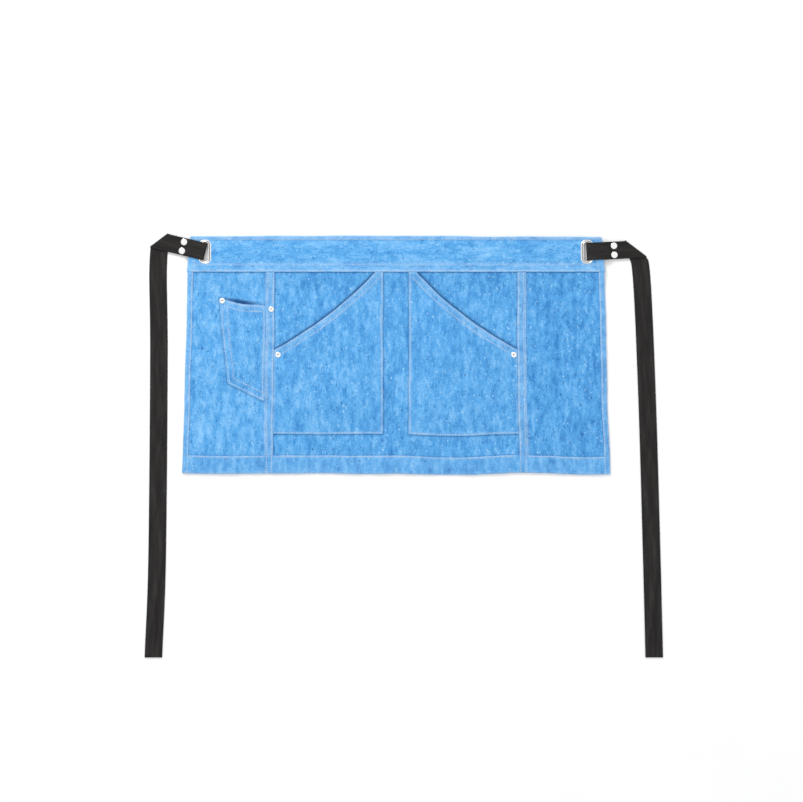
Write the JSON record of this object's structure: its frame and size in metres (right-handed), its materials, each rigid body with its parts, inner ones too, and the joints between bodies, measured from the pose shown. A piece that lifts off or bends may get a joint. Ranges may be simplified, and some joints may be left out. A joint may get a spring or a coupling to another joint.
{
  "type": "half apron",
  "caption": "Waist apron of washed denim laid flat, with slanted hand pockets, a pointed phone pocket, riveted corners and flat webbing ties looped through eyelets.",
  "frame": {"origin": "on the plane the apron lies on, under the middle of its body", "axes": "+X to the apron's right as seen from its front, +Y up the apron to its waistband, +Z out of its front, up off the table"},
  "size_m": [0.7399, 0.6041, 0.0074],
  "materials": {
    "denim": "washed light blue cotton twill",
    "interlining": "plain woven stiffener",
    "thread": "pale cotton-wrapped sewing thread",
    "webbing": "matte charcoal cotton webbing",
    "nickel": "satin nickel plate"
  },
  "bodies": {
    "apron": {"centre_panel": "denim", "bottom_hem": "denim", "left_side_hem": "denim", "right_side_hem": "denim", "left_felled_seam": "denim", "right_felled_seam": "denim", "left_side_panel": "denim", "right_side_panel": "denim", "waistband_front": "denim", "waistband_facing": "denim", "left_hand_pocket": "denim", "right_hand_pocket": "denim", "phone_pocket": "denim", "waistband_interlining": "interlining", "waistband_stitching": "thread", "hem_stitching": "thread", "side_hem_stitching": "thread", "seam_stitching": "thread", "hand_pocket_stitching": "thread", "phone_pocket_stitching": "thread", "left_strap_loop": "webbing", "right_strap_loop": "webbing", "pocket_rivet_caps": "nickel", "pocket_rivet_nails": "nickel", "left_eyelet": "nickel", "left_eyelet_washer": "nickel", "right_eyelet": "nickel", "right_eyelet_washer": "nickel", "left_strap_rivet_caps": "nickel", "left_strap_rivet_posts": "nickel", "right_strap_rivet_caps": "nickel", "right_strap_rivet_posts": "nickel"},
    "left_tie": {"left_strap_lead": "webbing"},
    "left_tail": {"left_strap_tail": "webbing"},
    "right_tie": {"right_strap_lead": "webbing"},
    "right_tail": {"right_strap_tail": "webbing"}
  },
  "joints": [
    {"name": "left_tie_fold", "type": "hinge", "parent": "apron", "child": "left_tie", "pos_m": [-0.30972, 0.18184, 0.0061], "axis": [0.2348, 0.972, 0], "range_deg": [0, 180]},
    {"name": "left_crease_unfold", "type": "hinge", "parent": "left_tie", "child": "left_tail", "pos_m": [-0.3373, 0.1885, 0.0017], "axis": [0.8002, 0.5998, 0], "range_deg": [0, 180]},
    {"name": "right_tie_fold", "type": "hinge", "parent": "apron", "child": "right_tie", "pos_m": [0.31734, 0.1752, 0.0061], "axis": [0.0533, -0.9986, 0], "range_deg": [0, 175]},
    {"name": "right_crease_unfold", "type": "hinge", "parent": "right_tie", "child": "right_tail", "pos_m": [0.3416, 0.1765, 0.0017], "axis": [0.7973, -0.6035, 0], "range_deg": [0, 180]}
  ]
}
